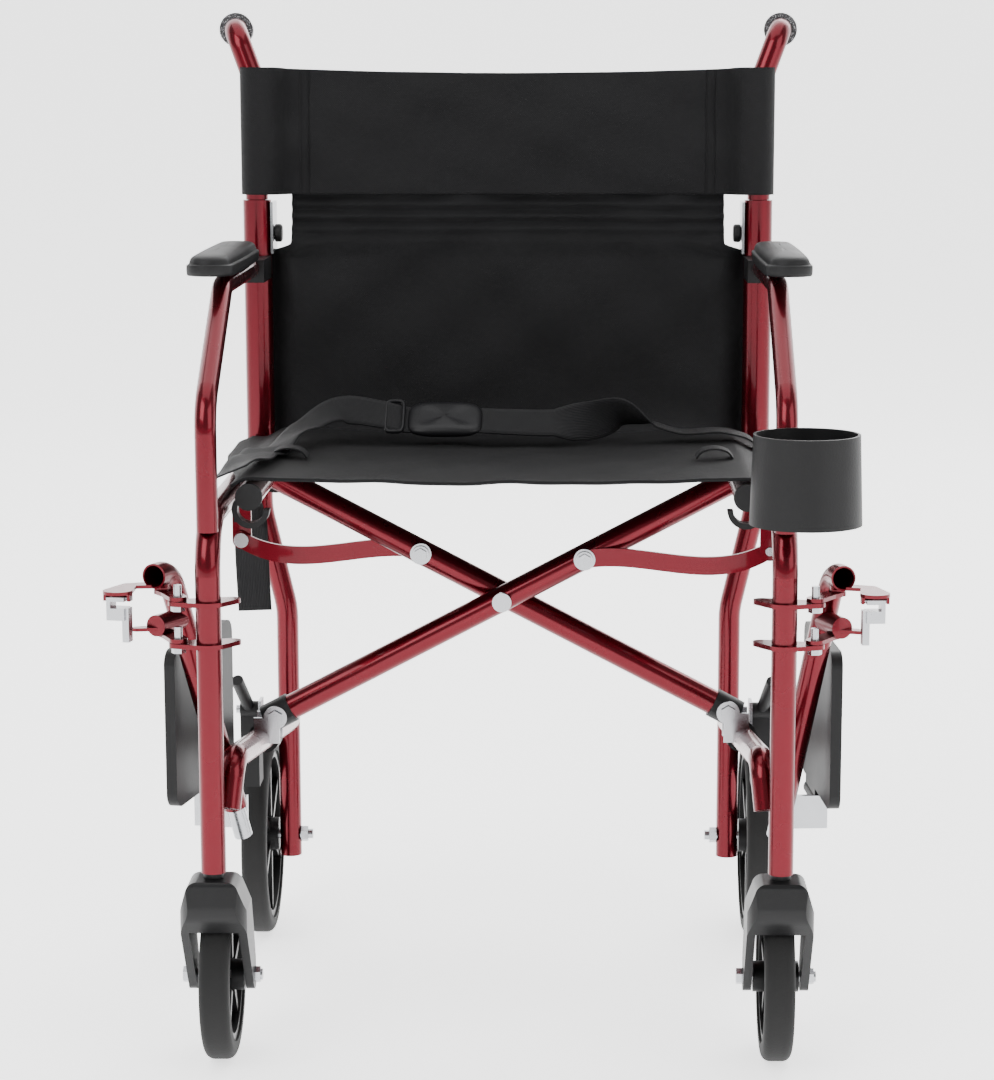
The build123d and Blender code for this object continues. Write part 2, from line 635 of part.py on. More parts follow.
def back_lower_panel():
    y = (DEPTH - PANEL_T / 2, DEPTH + PANEL_T / 2)
    low = SEAT_RAIL_Z - 8
    wide = FRAME_HALF - CANE_OD / 2 - SOFT_GAP
    return box((-wide, wide), y, (low, WING_TOP_Z - 8)) + box((-NECK_HALF, NECK_HALF), y, (low, BAND_BOTTOM_Z - 2))


def seat_sling():
    z = SEAT_RAIL_Z + CAP_OD / 2 + SOFT_GAP
    length = (RAIL_FRONT_Y, DEPTH - CANE_OD / 2 - 3)
    return box((-SLING_HALF, SLING_HALF), length, (z, z + SLING_T))


def lap_belt():
    """The belt as it lies across the seat, its buckle, and its loose end hanging at the left."""
    z = SEAT_RAIL_Z + CAP_OD / 2 + SOFT_GAP + SLING_T + SOFT_GAP
    web = box((-RAIL_HALF, RAIL_HALF), (BELT_Y - BELT_W / 2, BELT_Y + BELT_W / 2), (z, z + 3))
    buckle = box((-92, -24), (BELT_Y - 24, BELT_Y + 24), (z + 3.2, z + 16))
    return web.solids() + buckle.solids()


# ---- casters ----
def hull_of(circles):
    """The outline drawn tight round a set of circles (a, b, r) in one plane."""
    with BuildSketch() as sketch:
        for a, b, r in circles:
            with Locations((a, b)):
                Circle(r)
        make_hull()
    return sketch.sketch


def caster_fork(s):
    """The caster fork: a rounded crown on a stem, and two legs that trail to the axle."""
    x, half = s * FRAME_HALF, FORK_W / 2
    shoulder = CROWN_OD / 2 - 10
    side = hull_of([(0, ARCH_Z - 3, 22), (-12, CROWN_TOP_Z - 5, 8), (12, CROWN_TOP_Z - 5, 8),
                    (CASTER_TRAIL, CASTER_R, 13)])
    front = hull_of([(way * a, z, r) for way in (-1, 1) for a, z, r in (
        (shoulder, CROWN_TOP_Z - 10, 10), (half - 6, ARCH_Z - 8, 6), (half - 3, CASTER_R - 14, 3))])
    plan = hull_of([(x, 0, half + 1), (x, CASTER_TRAIL, half + 1)])
    body = extrude(Plane(origin=(x - half - 10, 0, 0), x_dir=(0, 1, 0), z_dir=(1, 0, 0)) * side, FORK_W + 20)
    body &= extrude(Plane(origin=(x, 100, 0), x_dir=(1, 0, 0), z_dir=(0, -1, 0)) * front, 200)
    body &= extrude(plan, CROWN_TOP_Z + 10)
    gap = FORK_W - 2 * FORK_LEG_T
    room = rod((x - gap / 2, CASTER_TRAIL, CASTER_R), (x + gap / 2, CASTER_TRAIL, CASTER_R), CASTER_R + 5)
    room += box((x - gap / 2, x + gap / 2), (-60, 120), (0, CASTER_R + 40))
    stem = rod((x, 0, CROWN_TOP_Z - 2), (x, 0, POST_BOTTOM_Z + 60), STEM_R)
    stem += rod((x, 0, CROWN_TOP_Z - 2), (x, 0, POST_BOTTOM_Z - 0.3), POST_OD / 2 - 2)
    axle = rod((x - 50, CASTER_TRAIL, CASTER_R), (x + 50, CASTER_TRAIL, CASTER_R), AXLE_R)
    return body - room + stem - axle


def caster_axle(s):
    x = s * FRAME_HALF
    reach = FORK_W / 2
    bolt = rod((x - reach - 5, CASTER_TRAIL, CASTER_R), (x + reach + 7, CASTER_TRAIL, CASTER_R), AXLE_R)
    bolt += hexagon((x - reach - 6, CASTER_TRAIL, CASTER_R), (x - reach, CASTER_TRAIL, CASTER_R), 13)
    bolt += hexagon((x + reach, CASTER_TRAIL, CASTER_R), (x + reach + 5, CASTER_TRAIL, CASTER_R), 13)
    return bolt


def wheel_tyre(x, y, radius, width, thick):
    """A solid tyre: a ring with a rounded tread."""
    body = ring((x - width / 2, y, radius), (x + width / 2, y, radius), radius, radius - thick)
    rims = body.edges().filter_by(GeomType.CIRCLE).group_by(lambda e: round(e.radius, 1))[-1]
    return fillet(rims, width * 0.3)


def wheel_hub(x, y, radius, width, thick, hub_r, hub_w, spokes):
    """A moulded wheel: rim, web, spoke ribs and a hub bored for its axle."""
    edge = radius - thick
    body = ring((x - width / 2 + 2, y, radius), (x + width / 2 - 2, y, radius), edge - 0.05, edge - 7)
    body += rod((x - 3, y, radius), (x + 3, y, radius), edge - 6)
    body += rod((x - hub_w / 2, y, radius), (x + hub_w / 2, y, radius), hub_r)
    for index in range(spokes):
        angle = 360 * index / spokes
        rib = Pos(0, 0, (edge + hub_r) / 2) * Box(width - 8, 7, edge - hub_r - 4)
        body += Pos(x, y, radius) * (Rot(X=angle) * rib)
        hole = Rot(X=angle + 180 / spokes) * (Pos(0, 0, (edge + hub_r) / 2 - 1) * Rot(Y=90) * Cylinder(
            (edge - hub_r - 12) / 2.6, 60))
        body -= Pos(x, y, radius) * hole
    return body - rod((x - 60, y, radius), (x + 60, y, radius), AXLE_R + RUN_GAP)


# ---- wheel locks ----
def wheel_lock(s):
    """The wheel lock: a lever that stands forward, and a curved shoe in front of the tyre."""
    near, far = s * (LOCK_X - LOCK_W / 2), s * (LOCK_X + LOCK_W / 2)
    inner = WHEEL_R + SHOE_GAP
    body = rod((near, LOCK_Y, LOCK_Z), (far, LOCK_Y, LOCK_Z), 8)
    body += bar([(s * LOCK_X, LOCK_Y, LOCK_Z), (s * (LOCK_X + 8), LOCK_Y - 34, LOCK_Z + 36)], 12)
    shoe = ring((near, DEPTH, WHEEL_R), (far, DEPTH, WHEEL_R), inner + SHOE_T, inner)
    shoe &= box(span(near, far), (DEPTH - inner - SHOE_T, DEPTH - 40), (WHEEL_R + 50, WHEEL_R + 104))
    arm = box(span(near, far), (LOCK_Y - 4, LOCK_Y + 30), (LOCK_Z - 78, LOCK_Z))
    arm -= rod((near - 40, DEPTH, WHEEL_R), (near + 80, DEPTH, WHEEL_R), inner)
    hole = rod((near - s * 9, LOCK_Y, LOCK_Z), (far + s * 9, LOCK_Y, LOCK_Z), 4 + RUN_GAP)
    return (body + shoe + arm - hole).solids().sort_by(SortBy.VOLUME)[-1]


# ---- footrests ----
def hanger_points(s):
    return [
        (s * HANGER_END[0], HANGER_END[1], HANGER_Z),
        (s * HANGER_KNEE[0], HANGER_KNEE[1], HANGER_Z),
        (s * HANGER_FOOT[0], HANGER_FOOT[1], HANGER_FOOT[2]),
    ]


def swing(s, shape):
    """Turn a footrest piece about its pins to where it is parked."""
    axis = Axis((s * PIN_X, 0, 0), (0, 0, 1))
    return shape.rotate(axis, -s * -SWING_REST[s])


def hanger(s):
    """The swing-away hanger: bent tube, lower stub, two pin lugs, and the latch's arm."""
    points = hanger_points(s)
    core = bar(points, POST_OD, HANGER_BEND_R)
    body = tube(points, POST_OD, HANGER_BEND_R)
    share = (HANGER_Z - BRACE_STUB_Z) / (HANGER_Z - HANGER_FOOT[2])
    joint = [a + share * (b - a) for a, b in zip(HANGER_KNEE, HANGER_FOOT)]
    stub_start = (s * HANGER_END[0], HANGER_END[1] + 2, BRACE_STUB_Z)
    stub = bar([stub_start, (s * joint[0], joint[1] - 4, BRACE_STUB_Z)], ARM_OD)
    ear = plate_along(
        [(stub_start[0], stub_start[1] + 6, 7), (s * (HANGER_END[0] + 16), 15, 5)], BRACE_STUB_Z - 3, 3
    )
    body += (stub + ear) - core
    for z, tube_z in zip(TAB_ZS, (HANGER_Z, BRACE_STUB_Z)):
        low = z + TAB_T / 2 + LUG_GAP
        level = low + LUG_T / 2
        lug = plate_along(
            [(s * PIN_X, 0, 8), (s * (PIN_X + 14), 20, 8), (s * (PIN_X + 23.5), 30, 8)],
            level, LUG_T, [(s * PIN_X, 0, PIN_R + RUN_GAP)],
        )
        riser = box(span(s * (PIN_X + 17.5), s * (PIN_X + 29.5)), (24, 36), (low, tube_z))
        body += (lug + riser) - core
    tip = s * (PIN_X + LATCH_ARM_X)
    arm_route = [(s * (PIN_X + 25.5), 26, 9), (s * (PIN_X + 49.5), 16, 7), (tip, LATCH_Y, 13)]
    arm = plate_along(arm_route, HANGER_Z - 9.5, 3)
    for way in (-1, 1):
        arm += box(
            span(tip + way * LATCH_EAR_X, tip + way * (LATCH_EAR_X + 2.5)),
            (LATCH_Y - 4, LATCH_Y + 4), (LATCH_PIN_Z - 2.6, HANGER_Z - 9),
        )
    arm -= rod((tip - 20, LATCH_Y, LATCH_PIN_Z), (tip + 20, LATCH_Y, LATCH_PIN_Z), LATCH_PIN_R + RUN_GAP)
    body += arm - core
    for z in TAB_ZS:
        body -= rod((s * PIN_X, 0, z - 30), (s * PIN_X, 0, z + 17), PIN_R + RUN_GAP)
    return swing(s, body)


def latch(s):
    """The latch lever under the hanger's arm: a plated yoke on a pin, with a flat thumb lever."""
    x, y = s * (PIN_X + LATCH_ARM_X), LATCH_Y
    top = LATCH_PIN_Z + 1.0
    yoke = box((x - 8, x + 8), (y - 8, y + 8), (top - 20, top))
    yoke += rod((x - 12, y, LATCH_PIN_Z), (x + 12, y, LATCH_PIN_Z), LATCH_PIN_R)
    lever = box((x - s * 8 - 3, x - s * 8 + 3), (y - 5, y + 5), (top - 39.5, top - 8))
    slot_z = (TAB_ZS[0] - TAB_T / 2 - 1, TAB_ZS[0] + TAB_T / 2 + 1)
    slot = box(span(x - s * 12, x + s * 4.5), (y - 9, y + 9), slot_z)
    return swing(s, yoke + lever - slot)


def extension(s):
    """The plated tube that slides out of the hanger and carries the footplate's hinge pin."""
    knee = Vector(s * HANGER_KNEE[0], HANGER_KNEE[1], HANGER_Z)
    foot = Vector(s * HANGER_FOOT[0], HANGER_FOOT[1], HANGER_FOOT[2])
    way = (foot - knee).normalized()
    inside = rod(foot - way * 60, foot + way * 2, POST_OD / 2 - TUBE_WALL - 0.1)
    shape = inside + rod(foot + way * 0.3, foot + way * EXTENSION_LEN, EXTENSION_OD / 2)
    x, z = s * (PIN_X + PLATE_OFFSET), PLATE_HINGE_Z
    shape += rod((x, BARREL_Y[0] - 6, z), (x, BARREL_Y[1] + 6, z), 3.5)
    shape += box(span(s * (PIN_X - 14.5), x + s * 6), (BARREL_Y[0] - 7, BARREL_Y[0] - 1), (z - 24, z + 7))
    return swing(s, shape)


def footplate(s):
    """The footplate, folded up beside its tube, with its hinge barrel at the bottom."""
    x = s * (PIN_X + PLATE_OFFSET)
    middle = (PLATE_Y[0] + PLATE_Y[1]) / 2
    outline = RectangleRounded(PLATE_Y[1] - PLATE_Y[0], PLATE_Z[1] - PLATE_Z[0], 14)
    plane = Plane(origin=(x - PLATE_T / 2, middle, sum(PLATE_Z) / 2), x_dir=(0, 1, 0), z_dir=(1, 0, 0))
    plate = extrude(plane * outline, PLATE_T)
    barrel = rod((x, BARREL_Y[0], PLATE_HINGE_Z), (x, BARREL_Y[1], PLATE_HINGE_Z), 7)
    web = box((x - 5, x + 5), BARREL_Y, (PLATE_HINGE_Z, PLATE_Z[0] + 5))
    pin = rod((x, BARREL_Y[0] - 20, PLATE_HINGE_Z), (x, BARREL_Y[1] + 20, PLATE_HINGE_Z), 3.5 + RUN_GAP)
    return swing(s, plate + barrel + web - pin)


# ---- cup holder ----
def cup_holder():
    """The cup, with a straight bore and a flared outside, and its clamp round the arm tube."""
    centre = Pos(CUP_X, CUP_Y, CUP_BASE_Z)
    with BuildPart() as cup:
        with BuildSketch(Plane.XZ):
            Polygon(
                (0, 0), (CUP_BOTTOM_R, 0), (CUP_TOP_R, CUP_H), (CUP_BORE_R, CUP_H),
                (CUP_BORE_R, CUP_FLOOR), (0, CUP_FLOOR), align=None,
            )
        revolve(axis=Axis.Z)
    z = CUP_BASE_Z + 42
    block = box((FRAME_HALF - 11, FRAME_HALF + 11), (CUP_Y + 30, 15), (z - 10, z + 10))
    block -= rod((CUP_X, CUP_Y, 400), (CUP_X, CUP_Y, 700), CUP_TOP_R)
    block -= rod((FRAME_HALF, ARM_FOOT_Y, z - 20), (FRAME_HALF, ARM_FOOT_Y, z + 20), ARM_OD / 2 + 0.1)
    return centre * cup.part + block


# ---- build ----
for name, s in SIDES.items():
    export(f"{name}_front_post", front_post(s))
    export(f"{name}_cane", cane(s))
    export(f"{name}_arm_tube", arm_tube(s))
    export(f"{name}_arm_pad", arm_pad(s))
    export(f"{name}_arm_clamp", arm_clamp(s))
    export(f"{name}_lower_rail", lower_rail(s))
    export(f"{name}_seat_saddles", saddles(s))
    export(f"{name}_frame_tabs", frame_tabs(s))
    export(f"{name}_frame_hardware", frame_hardware(s))
    export(f"{name}_link", link(s))
    export(f"{name}_link_bolt", link_bolt(s))
    export(f"{name}_upper_cane", upper_cane(s))
    export(f"{name}_grip", grip(s))
    export(f"{name}_release_knob", release_knob(s))
    export(f"{name}_caster_fork", caster_fork(s))
    export(f"{name}_caster_axle", caster_axle(s))
    export(f"{name}_caster_tyre", wheel_tyre(s * FRAME_HALF, CASTER_TRAIL, CASTER_R, CASTER_W, 16))
    export(
        f"{name}_caster_hub",
        wheel_hub(s * FRAME_HALF, CASTER_TRAIL, CASTER_R, CASTER_W, 16, 14, 41, 5),
    )
    export(f"{name}_rear_tyre", wheel_tyre(s * WHEEL_HALF, DEPTH, WHEEL_R, WHEEL_W, TYRE_T))
    export(
        f"{name}_rear_hub",
        wheel_hub(s * WHEEL_HALF, DEPTH, WHEEL_R, WHEEL_W, TYRE_T, HUB_R, HUB_W, 6),
    )
    export(f"{name}_wheel_lock", wheel_lock(s))
    export(f"{name}_hanger", hanger(s))
    export(f"{name}_latch", latch(s))
    export(f"{name}_footplate", footplate(s))
    export(f"{name}_footrest_extension", extension(s))
    export(f"brace_from_{name}", brace_tube(s))
    export(f"brace_caps_{name}", brace_caps(s))

export("brace_pivot_bolt", pivot_bolt())
export("back_upper_panel", back_upper_panel())
export("back_lower_panel", back_lower_panel())
export("seat_sling", seat_sling())
export("lap_belt", lap_belt())
export("cup_holder", cup_holder())
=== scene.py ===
import math

import bpy
import numpy as np
from bpy.props import FloatProperty, FloatVectorProperty, PointerProperty
from mathutils import Matrix, Vector


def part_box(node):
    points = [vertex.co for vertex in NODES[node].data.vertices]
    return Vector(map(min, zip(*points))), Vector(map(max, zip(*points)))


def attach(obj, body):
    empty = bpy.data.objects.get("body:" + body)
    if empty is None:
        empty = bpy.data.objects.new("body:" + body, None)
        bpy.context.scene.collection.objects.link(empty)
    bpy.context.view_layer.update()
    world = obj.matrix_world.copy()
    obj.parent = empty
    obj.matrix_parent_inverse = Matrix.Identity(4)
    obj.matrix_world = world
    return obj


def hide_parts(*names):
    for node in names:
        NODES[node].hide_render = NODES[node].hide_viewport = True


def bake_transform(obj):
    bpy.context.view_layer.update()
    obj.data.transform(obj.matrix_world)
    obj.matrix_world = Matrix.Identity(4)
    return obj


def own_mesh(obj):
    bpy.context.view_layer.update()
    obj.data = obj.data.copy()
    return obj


bl_info = {
    "name": "Transport Wheelchair",
    "version": (1, 0, 0),
    "blender": (4, 5, 0),
    "location": "3D View > Sidebar > Wheelchair",
    "description": "Finishes and upholstery for a folding transport wheelchair",
    "category": "Object",
}

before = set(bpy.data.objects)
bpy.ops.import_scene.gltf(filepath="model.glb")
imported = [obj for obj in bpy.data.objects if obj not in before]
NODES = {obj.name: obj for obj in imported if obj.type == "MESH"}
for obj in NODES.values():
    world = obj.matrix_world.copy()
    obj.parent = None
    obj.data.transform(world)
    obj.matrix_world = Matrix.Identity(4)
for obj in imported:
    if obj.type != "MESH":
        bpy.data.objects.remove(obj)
SIDES = {"left": -1, "right": 1}


def middle_of(node):
    """The centre of a CAD node's box, as an array."""
    low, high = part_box(node)
    return (np.array(low) + np.array(high)) / 2


# Places on the frame, in metres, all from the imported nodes.
CANE_X = abs(middle_of("left_front_post")[0])
CANE_Y = float(middle_of("left_rear_hub")[1])
POST_Y = float(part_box("left_front_post")[0][1]) + 0.0111
SEAT_LOW, SEAT_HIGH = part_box("seat_sling")
SEAT_HALF = (SEAT_HIGH[0] - SEAT_LOW[0]) / 2
RAIL_X = SEAT_HALF - 0.016
BAND_LOW, BAND_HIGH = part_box("back_upper_panel")
APRON_LOW, APRON_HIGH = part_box("back_lower_panel")
BELT_LOW, BELT_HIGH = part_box("lap_belt")


# ---- surfaces ----
def ease(t):
    """Smooth step: three t squared less two t cubed, held at 0 and 1 outside."""
    t = np.clip(t, 0, 1)
    return t * t * (3 - 2 * t)


def ripple(u, v, waves):
    """Creases: the sum of sines, each given as (height, waves across u, waves across v, phase)."""
    total = np.zeros(np.broadcast(u, v).shape)
    for height, across, along, phase in waves:
        total = total + height * np.sin(2 * math.pi * (across * u + along * v) + phase)
    return total


def dent(u, v, at_u, at_v, wide_u, wide_v):
    """A bell-shaped bump of height 1 at (at_u, at_v): e to the minus squared distance over the widths."""
    return np.exp(-(((u - at_u) / wide_u) ** 2) - (((v - at_v) / wide_v) ** 2))


def surface(name, points, closed_u=False, closed_v=False):
    """A mesh over a grid of points (rows, columns, 3), with a UV map in metres along the grid's lines."""
    rows, columns = points.shape[:2]
    index = np.arange(rows * columns).reshape(rows, columns)
    if closed_u:
        index = np.vstack([index, index[:1]])
    if closed_v:
        index = np.hstack([index, index[:, :1]])
    quads = np.stack([index[:-1, :-1], index[:-1, 1:], index[1:, 1:], index[1:, :-1]], axis=-1).reshape(-1, 4)
    mesh = bpy.data.meshes.new(name)
    mesh.from_pydata(points.reshape(-1, 3).tolist(), [], quads.tolist())
    wrap_u = np.concatenate([points, points[:1]], axis=0) if closed_u else points
    wrap_v = np.concatenate([points, points[:, :1]], axis=1) if closed_v else points
    down = np.linalg.norm(np.diff(wrap_u, axis=0), axis=2).mean(axis=1)
    over = np.linalg.norm(np.diff(wrap_v, axis=1), axis=2).mean(axis=0)
    u = np.concatenate([[0], np.cumsum(down)])
    v = np.concatenate([[0], np.cumsum(over)])
    grid_u, grid_v = np.meshgrid(u, v, indexing="ij")
    corner = np.stack([grid_u, grid_v], axis=-1)
    uv = np.stack([corner[:-1, :-1], corner[:-1, 1:], corner[1:, 1:], corner[1:, :-1]], axis=2)
    layer = mesh.uv_layers.new(name="weave")
    layer.data.foreach_set("uv", uv.reshape(-1).astype(np.float32))
    mesh.shade_smooth()
    obj = bpy.data.objects.new(name, mesh)
    bpy.context.scene.collection.objects.link(obj)
    return obj


def thicken(obj, thickness, offset=0.0):
    """Give a sheet its thickness, with closed rims."""
    wall = obj.modifiers.new("Thickness", "SOLIDIFY")
    wall.thickness = thickness
    wall.offset = offset
    return obj


def smooth(obj, levels=1):
    sub = obj.modifiers.new("Smooth", "SUBSURF")
    sub.levels = levels
    sub.render_levels = levels
    return obj


def resample(route, count):
    """Points evenly spaced along a smooth curve through the route, by cubic interpolation of arc length."""
    route = np.array(route, float)
    length = np.concatenate([[0], np.cumsum(np.linalg.norm(np.diff(route, axis=0), axis=1))])
    slope = np.gradient(route, length, axis=0)
    t = np.linspace(0, length[-1], count)
    at = np.clip(np.searchsorted(length, t, side="right") - 1, 0, len(length) - 2)
    span = (length[at + 1] - length[at])[:, None]
    x = ((t - length[at])[:, None]) / span
    a, b = route[at], route[at + 1]
    ma, mb = slope[at] * span, slope[at + 1] * span
    start = (2 * x**3 - 3 * x**2 + 1) * a + (x**3 - 2 * x**2 + x) * ma
    return start + (3 * x**2 - 2 * x**3) * b + (x**3 - x**2) * mb


def ribbon(name, route, turns, width, thickness, count=90, cup=0.0):
    """A strap: a strip of constant width carried along a route. Its cross line starts along Y and is
    turned about the route's direction by an angle interpolated from turns, in degrees; cup lifts
    its middle line by a parabola."""
    line = resample(route, count)
    tangent = np.gradient(line, axis=0)
    tangent /= np.linalg.norm(tangent, axis=1)[:, None]
    share = np.linspace(0, 1, count)
    angle = np.radians(np.interp(share, [t[0] for t in turns], [t[1] for t in turns]))[:, None]
    side = np.array([0.0, 1.0, 0.0]) - tangent * tangent[:, 1:2]
    side /= np.linalg.norm(side, axis=1)[:, None]
    up = np.cross(tangent, side)
    across = side * np.cos(angle) + up * np.sin(angle)
    normal = np.cross(tangent, across)
    v = np.linspace(-1, 1, 9)[None, :, None]
    points = line[:, None, :] + across[:, None, :] * v * width / 2 + normal[:, None, :] * cup * (1 - v**2)
    return thicken(surface(name, points), thickness)


# ---- shader maths ----
class Value:
    """A value socket that adds Math nodes when it is used in an expression."""

    def __init__(self, paint, socket):
        self.paint = paint
        self.socket = socket

    def _with(self, operation, *others):
        values = [other.socket if isinstance(other, Value) else other for other in others]
        inputs = {0: self.socket}
        inputs.update({index + 1: value for index, value in enumerate(values)})
        return self.paint.value("ShaderNodeMath", {"operation": operation}, inputs)

    def __add__(self, other):
        return self._with("ADD", other)

    __radd__ = __add__

    def __mul__(self, other):
        return self._with("MULTIPLY", other)

    __rmul__ = __mul__

    def __gt__(self, other):
        return self._with("GREATER_THAN", other)

    def sine(self):
        return self._with("SINE")


class Paint:
    """A material under construction: one Principled shader, and the nodes that feed it."""

    def __init__(self, name, **constants):
        self.material = bpy.data.materials.new(name)
        self.material.use_nodes = True
        self.tree = self.material.node_tree
        self.shader = self.tree.nodes["Principled BSDF"]
        for key, value in constants.items():
            self.shader.inputs[key.replace("_", " ")].default_value = value

    def node(self, kind, settings=None, inputs=None):
        """Add a node: its settings first, then the values or links of its sockets."""
        made = self.tree.nodes.new(kind)
        for key, value in (settings or {}).items():
            setattr(made, key, value)
        for key, value in (inputs or {}).items():
            value = value.socket if isinstance(value, Value) else value
            if isinstance(value, bpy.types.NodeSocket):
                self.tree.links.new(value, made.inputs[key])
            else:
                made.inputs[key].default_value = value
        return made

    def value(self, kind, settings=None, inputs=None, output=0):
        return Value(self, self.node(kind, settings, inputs).outputs[output])

    def place(self):
        return self.node("ShaderNodeTexCoord").outputs["Object"]

    def weave_map(self):
        return self.node("ShaderNodeUVMap", {"uv_map": "weave"}).outputs["UV"]

    def noise(self, scale, detail=4.0, where=None):
        inputs = {"Vector": where or self.place(), "Scale": scale, "Detail": detail}
        return self.value("ShaderNodeTexNoise", None, inputs)

    def split(self, where):
        parts = self.node("ShaderNodeSeparateXYZ", None, {0: where})
        return [Value(self, output) for output in parts.outputs]

    def blend(self, factor, a, b):
        """Mix two colours by a factor."""
        made = self.node("ShaderNodeMix", {"data_type": "RGBA"})
        for index, value in ((0, factor), (6, a), (7, b)):
            value = value.socket if isinstance(value, Value) else value
            if isinstance(value, bpy.types.NodeSocket):
                self.tree.links.new(value, made.inputs[index])
            else:
                made.inputs[index].default_value = value
        return made.outputs[2]

    def feed(self, key, value):
        value = value.socket if isinstance(value, Value) else value
        self.tree.links.new(value, self.shader.inputs[key])
        return self

    def bump(self, height, strength, distance):
        inputs = {"Height": height, "Strength": strength, "Distance": distance}
        self.feed("Normal", self.node("ShaderNodeBump", None, inputs).outputs["Normal"])
        return self


def rgba(colour, gain=1.0):
    return tuple(min(1.0, part * gain) for part in colour[:3]) + (1.0,)


def coated_metal(name, colour):
    """Candy paint over bright metal: a fine flake under a clear coat."""
    paint = Paint(name, Metallic=0.88, Coat_Weight=0.30, Coat_Roughness=0.05)
    flake = paint.noise(2600.0, 2.0)
    mottle = paint.noise(14.0)
    paint.feed("Base Color", paint.blend(flake * 0.55 + mottle * 0.2, rgba(colour, 0.7), rgba(colour, 1.35)))
    paint.feed("Roughness", 0.22 + mottle * 0.10)
    return paint.material


def plated_metal(name, colour, dull=0.18):
    """Zinc or chrome plate, a little cloudy."""
    paint = Paint(name, Metallic=1.0)
    cloud = paint.noise(60.0)
    paint.feed("Base Color", paint.blend(cloud, rgba(colour, 0.8), rgba(colour, 1.05)))
    paint.feed("Roughness", dull + cloud * 0.14)
    return paint.material


def moulded(name, colour, rough, grain, depth):
    """Moulded plastic or rubber with a fine grain."""
    paint = Paint(name, Specular_IOR_Level=0.24)
    fine = paint.noise(grain, 3.0)
    broad = paint.noise(18.0)
    paint.feed("Base Color", paint.blend(broad, rgba(colour, 0.8), rgba(colour, 1.35)))
    paint.feed("Roughness", rough + broad * 0.12)
    paint.bump(fine, 0.5, depth)
    return paint.material


def glint_speckled(name, colour):
    """Dark rubber with pale specks painted in as small highlights, as on the hand grips."""
    paint = Paint(name)
    # Pale specks: small painted highlights scattered over the dark rubber.
    painted_glint = paint.noise(900.0, 1.0) > 0.60
    paint.feed("Base Color", paint.blend(painted_glint, rgba(colour), rgba((0.30, 0.30, 0.31))))
    paint.feed("Roughness", 0.62 + paint.noise(300.0) * 0.1)
    paint.bump(paint.noise(900.0, 1.0), 0.4, 0.0004)
    return paint.material


def woven(name, colour, pitch, sheen):
    """Coated nylon: a plain weave along the piece's own map, over soft shading."""
    paint = Paint(name, Specular_IOR_Level=0.16, Sheen_Weight=sheen, Sheen_Roughness=0.45)
    u, v, _ = paint.split(paint.weave_map())
    step = 2 * math.pi / pitch
    warp = (u * step).sine() * (v * step).sine()
    # Broad noise: painted soft shading that lightens and darkens the cloth's colour, and also varies its roughness
    # like wear.
    painted_shade_and_wear = paint.noise(9.0)
    paint.feed("Base Color", paint.blend(painted_shade_and_wear * 0.6 + warp * 0.12, rgba(colour, 0.7), rgba(colour, 1.7)))
    paint.feed("Roughness", 0.56 + painted_shade_and_wear * 0.14)
    paint.bump(warp + paint.noise(40.0) * 2.0, 0.55, 0.0004)
    return paint.material


def ribbed(name, colour, pitch):
    """Seat-belt webbing: fine ribs along the strap."""
    paint = Paint(name, Specular_IOR_Level=0.22, Sheen_Weight=0.04, Sheen_Roughness=0.4)
    u, v, _ = paint.split(paint.weave_map())
    ribs = (v * (2 * math.pi / pitch)).sine()
    picks = (u * (2 * math.pi / (pitch * 0.6))).sine()
    paint.feed("Base Color", paint.blend(ribs * 0.3 + 0.4, rgba(colour, 0.6), rgba(colour, 1.6)))
    paint.feed("Roughness", 0.52 + paint.noise(30.0) * 0.1)
    paint.bump(ribs + picks * 0.4, 0.6, 0.0005)
    return paint.material


def dress(material, *names):
    """Give CAD nodes a finish."""
    for name in names:
        data = NODES[name].data
        data.materials.clear()
        data.materials.append(material)


def finish(obj, material):
    obj.data.materials.append(material)
    return obj


def both(*parts):
    return [f"{side}_{part}" for side in SIDES for part in parts]


# ---- what a user may change ----
class ChairFinish(bpy.types.PropertyGroup):
    tube: FloatVectorProperty(
        name="Tube colour", description="Paint on the frame tubes", subtype="COLOR",
        default=(0.120, 0.0016, 0.0080), min=0, max=1,
    )
    cloth: FloatVectorProperty(
        name="Cloth colour", description="Nylon of the seat and back", subtype="COLOR",
        default=(0.0050, 0.0050, 0.0056), min=0, max=1,
    )
    plastic: FloatVectorProperty(
        name="Plastic colour", description="Moulded black parts", subtype="COLOR",
        default=(0.0050, 0.0050, 0.0054), min=0, max=1,
    )
    metal: FloatVectorProperty(
        name="Plating colour", description="Zinc and chrome hardware", subtype="COLOR",
        default=(0.46, 0.47, 0.49), min=0, max=1,
    )


class ChairCloth(bpy.types.PropertyGroup):
    seat_sag: FloatProperty(
        name="Seat sag", description="How far the middle of the seat hangs", default=0.007,
        min=0, max=0.01, unit="LENGTH",
    )
    flap: FloatProperty(
        name="Seat flap", description="How far the seat's sides flare out over the side rails", default=0.030,
        min=0, max=0.04, unit="LENGTH",
    )
    back_sag: FloatProperty(
        name="Back sag", description="How far the back bows to the rear", default=0.012,
        min=0, max=0.04, unit="LENGTH",
    )
    crease: FloatProperty(
        name="Crease height", description="Height of the creases in the back", default=0.0034,
        min=0, max=0.006, unit="LENGTH",
    )
    strap: FloatProperty(
        name="Belt width", description="Width of the lap belt's webbing", default=0.038,
        min=0.02, max=0.06, unit="LENGTH",
    )


class ChairPad(bpy.types.PropertyGroup):
    crown: FloatProperty(
        name="Crown", description="How round the arm pad's top is, from flat to full", default=0.75,
        min=0, max=1, subtype="FACTOR",
    )


